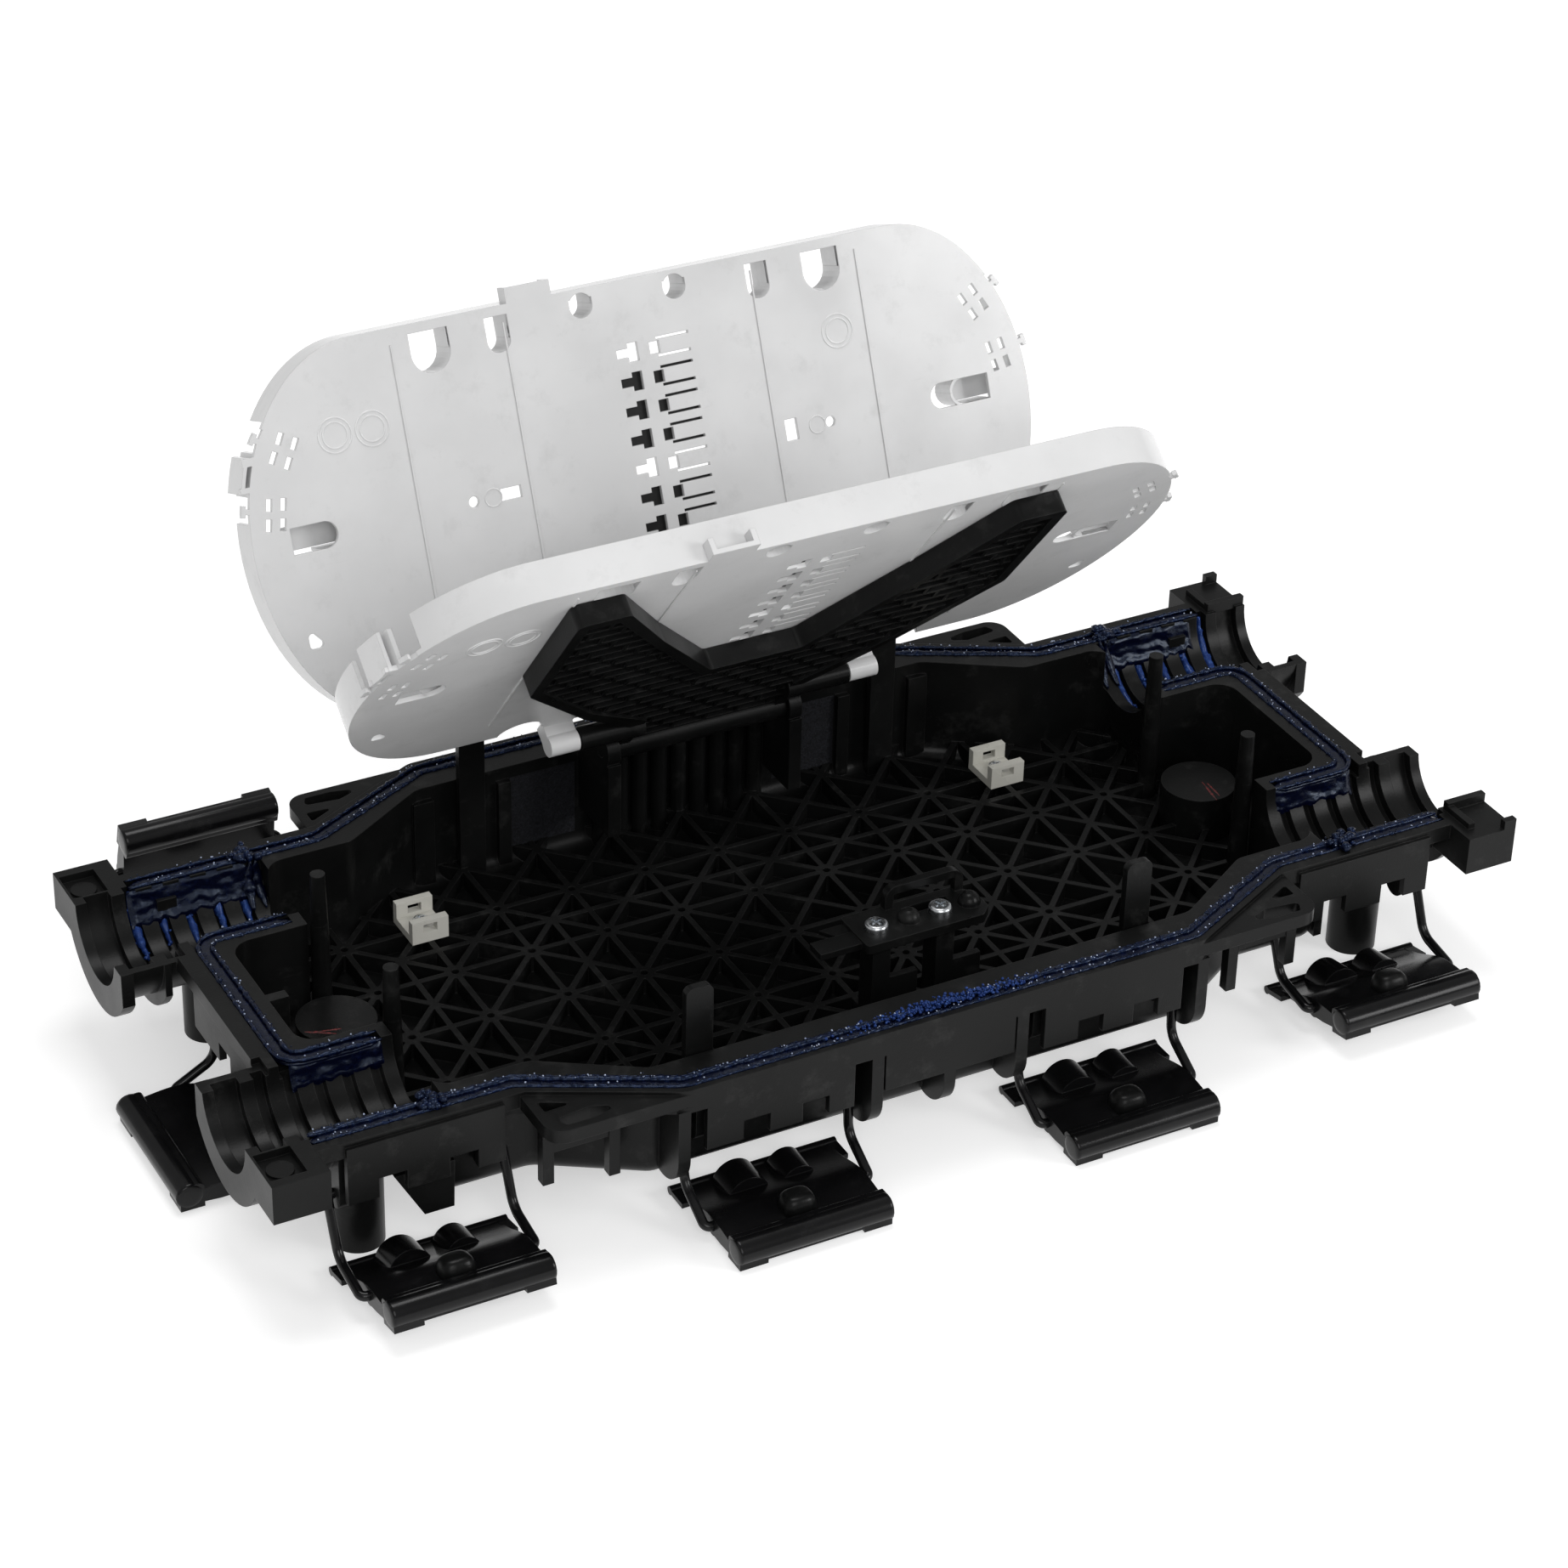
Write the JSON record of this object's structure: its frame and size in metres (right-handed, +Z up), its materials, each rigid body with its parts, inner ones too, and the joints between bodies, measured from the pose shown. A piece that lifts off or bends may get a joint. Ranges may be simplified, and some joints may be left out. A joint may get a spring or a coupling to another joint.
{
  "type": "inline splice closure",
  "caption": "Opened inline fibre splice closure: black ribbed shell with blue gel seals, two hinged grey splice trays and over-centre wire latches.",
  "frame": {"origin": "middle of the four feet, on the surface they stand on", "axes": "+Z up, +X along the closure to the ports at the right, +Y to the side of the tray hinge"},
  "size_m": [0.4892, 0.2886, 0.2248],
  "materials": {
    "shell_plastic": "satin",
    "lever_plastic": "gloss",
    "black_wire": "gloss",
    "tray_plastic": "satin",
    "black_rubber": "matte",
    "gel": "gloss",
    "nylon": "satin",
    "zinc": "bright"
  },
  "bodies": {
    "shell": {"base_shell": "shell_plastic", "gel_front": "gel", "gel_rear": "gel", "gel_left_end": "gel", "gel_right_end": "gel", "tie_mount_left": "nylon", "tie_mount_right": "nylon", "tie_screw_left": "zinc", "tie_screw_right": "zinc", "clamp_plate": "shell_plastic", "clamp_screw_left": "zinc", "clamp_screw_right": "zinc"},
    "carrier": {"tray_carrier": "shell_plastic"},
    "front_tray_unit": {"front_tray": "tray_plastic", "front_splice_holder_1": "black_rubber", "front_splice_holder_2": "black_rubber"},
    "rear_tray_unit": {"rear_tray": "tray_plastic", "rear_splice_holder_1": "black_rubber", "rear_splice_holder_2": "black_rubber"},
    "front_latch_1_wire": {"front_latch_1_bail": "black_wire"},
    "front_latch_1_handle": {"front_latch_1_lever": "lever_plastic"},
    "front_latch_2_wire": {"front_latch_2_bail": "black_wire"},
    "front_latch_2_handle": {"front_latch_2_lever": "lever_plastic"},
    "front_latch_3_wire": {"front_latch_3_bail": "black_wire"},
    "front_latch_3_handle": {"front_latch_3_lever": "lever_plastic"},
    "front_latch_4_wire": {"front_latch_4_bail": "black_wire"},
    "front_latch_4_handle": {"front_latch_4_lever": "lever_plastic"},
    "rear_latch_1_wire": {"rear_latch_1_bail": "black_wire"},
    "rear_latch_1_handle": {"rear_latch_1_lever": "lever_plastic"},
    "rear_latch_2_wire": {"rear_latch_2_bail": "black_wire"},
    "rear_latch_2_handle": {"rear_latch_2_lever": "lever_plastic"},
    "rear_latch_3_wire": {"rear_latch_3_bail": "black_wire"},
    "rear_latch_3_handle": {"rear_latch_3_lever": "lever_plastic"},
    "rear_latch_4_wire": {"rear_latch_4_bail": "black_wire"},
    "rear_latch_4_handle": {"rear_latch_4_lever": "lever_plastic"},
    "left_latch_wire": {"left_latch_bail": "black_wire"},
    "left_latch_handle": {"left_latch_lever": "lever_plastic"},
    "right_latch_wire": {"right_latch_bail": "black_wire"},
    "right_latch_handle": {"right_latch_lever": "lever_plastic"}
  },
  "joints": [
    {"name": "carrier_hinge", "type": "hinge", "parent": "shell", "child": "carrier", "pos_m": [0, 0.076, 0.0675], "axis": [-1, 0, 0], "range_deg": [-50.6, 9.4]},
    {"name": "front_tray_hinge", "type": "hinge", "parent": "carrier", "child": "front_tray_unit", "pos_m": [0, 0.0643, 0.08222], "axis": [-1, 0, 0], "range_deg": [0, 15]},
    {"name": "rear_tray_hinge", "type": "hinge", "parent": "front_tray_unit", "child": "rear_tray_unit", "pos_m": [0, 0.07666, 0.09237], "axis": [-1, 0, 0], "range_deg": [-62.2, 3]},
    {"name": "front_latch_1_hinge", "type": "hinge", "parent": "shell", "child": "front_latch_1_wire", "pos_m": [-0.18175, -0.0795, 0.032], "axis": [-1, 0, 0], "range_deg": [0, 95]},
    {"name": "front_latch_1_lever_hinge", "type": "hinge", "parent": "front_latch_1_wire", "child": "front_latch_1_handle", "pos_m": [-0.18175, -0.10582, 0.00862], "axis": [1, 0, 0], "range_deg": [-39, 9]},
    {"name": "front_latch_2_hinge", "type": "hinge", "parent": "shell", "child": "front_latch_2_wire", "pos_m": [-0.06425, -0.101, 0.0355], "axis": [-1, 0, 0], "range_deg": [0, 114]},
    {"name": "front_latch_2_lever_hinge", "type": "hinge", "parent": "front_latch_2_wire", "child": "front_latch_2_handle", "pos_m": [-0.06425, -0.11828, 0.00483], "axis": [1, 0, 0], "range_deg": [-31, 17]},
    {"name": "front_latch_3_hinge", "type": "hinge", "parent": "shell", "child": "front_latch_3_wire", "pos_m": [0.06425, -0.101, 0.0355], "axis": [-1, 0, 0], "range_deg": [0, 114]},
    {"name": "front_latch_3_lever_hinge", "type": "hinge", "parent": "front_latch_3_wire", "child": "front_latch_3_handle", "pos_m": [0.06425, -0.11828, 0.00483], "axis": [1, 0, 0], "range_deg": [-31, 17]},
    {"name": "front_latch_4_hinge", "type": "hinge", "parent": "shell", "child": "front_latch_4_wire", "pos_m": [0.18175, -0.0795, 0.032], "axis": [-1, 0, 0], "range_deg": [0, 95]},
    {"name": "front_latch_4_lever_hinge", "type": "hinge", "parent": "front_latch_4_wire", "child": "front_latch_4_handle", "pos_m": [0.18175, -0.10582, 0.00862], "axis": [1, 0, 0], "range_deg": [-39, 9]},
    {"name": "rear_latch_1_hinge", "type": "hinge", "parent": "shell", "child": "rear_latch_1_wire", "pos_m": [-0.18175, 0.0795, 0.032], "axis": [1, 0, 0], "range_deg": [0, 38]},
    {"name": "rear_latch_1_lever_hinge", "type": "hinge", "parent": "rear_latch_1_wire", "child": "rear_latch_1_handle", "pos_m": [-0.18175, 0.11344, 0.04134], "axis": [-1, 0, 0], "range_deg": [-1, 47]},
    {"name": "rear_latch_2_hinge", "type": "hinge", "parent": "shell", "child": "rear_latch_2_wire", "pos_m": [-0.06425, 0.101, 0.0355], "axis": [1, 0, 0], "range_deg": [0, 114]},
    {"name": "rear_latch_2_lever_hinge", "type": "hinge", "parent": "rear_latch_2_wire", "child": "rear_latch_2_handle", "pos_m": [-0.06425, 0.11828, 0.00483], "axis": [-1, 0, 0], "range_deg": [-31, 17]},
    {"name": "rear_latch_3_hinge", "type": "hinge", "parent": "shell", "child": "rear_latch_3_wire", "pos_m": [0.06425, 0.101, 0.0355], "axis": [1, 0, 0], "range_deg": [0, 114]},
    {"name": "rear_latch_3_lever_hinge", "type": "hinge", "parent": "rear_latch_3_wire", "child": "rear_latch_3_handle", "pos_m": [0.06425, 0.11828, 0.00483], "axis": [-1, 0, 0], "range_deg": [-31, 17]},
    {"name": "rear_latch_4_hinge", "type": "hinge", "parent": "shell", "child": "rear_latch_4_wire", "pos_m": [0.18175, 0.0795, 0.032], "axis": [1, 0, 0], "range_deg": [0, 95]},
    {"name": "rear_latch_4_lever_hinge", "type": "hinge", "parent": "rear_latch_4_wire", "child": "rear_latch_4_handle", "pos_m": [0.18175, 0.10582, 0.00862], "axis": [-1, 0, 0], "range_deg": [-39, 9]},
    {"name": "left_latch_hinge", "type": "hinge", "parent": "shell", "child": "left_latch_wire", "pos_m": [-0.207, 0, 0.0355], "axis": [0, 1, 0], "range_deg": [0, 114]},
    {"name": "left_latch_lever_hinge", "type": "hinge", "parent": "left_latch_wire", "child": "left_latch_handle", "pos_m": [-0.22428, 0, 0.00483], "axis": [0, -1, 0], "range_deg": [-31, 17]},
    {"name": "right_latch_hinge", "type": "hinge", "parent": "shell", "child": "right_latch_wire", "pos_m": [0.207, 0, 0.0355], "axis": [0, -1, 0], "range_deg": [0, 114]},
    {"name": "right_latch_lever_hinge", "type": "hinge", "parent": "right_latch_wire", "child": "right_latch_handle", "pos_m": [0.22428, 0, 0.00483], "axis": [0, 1, 0], "range_deg": [-31, 17]}
  ]
}
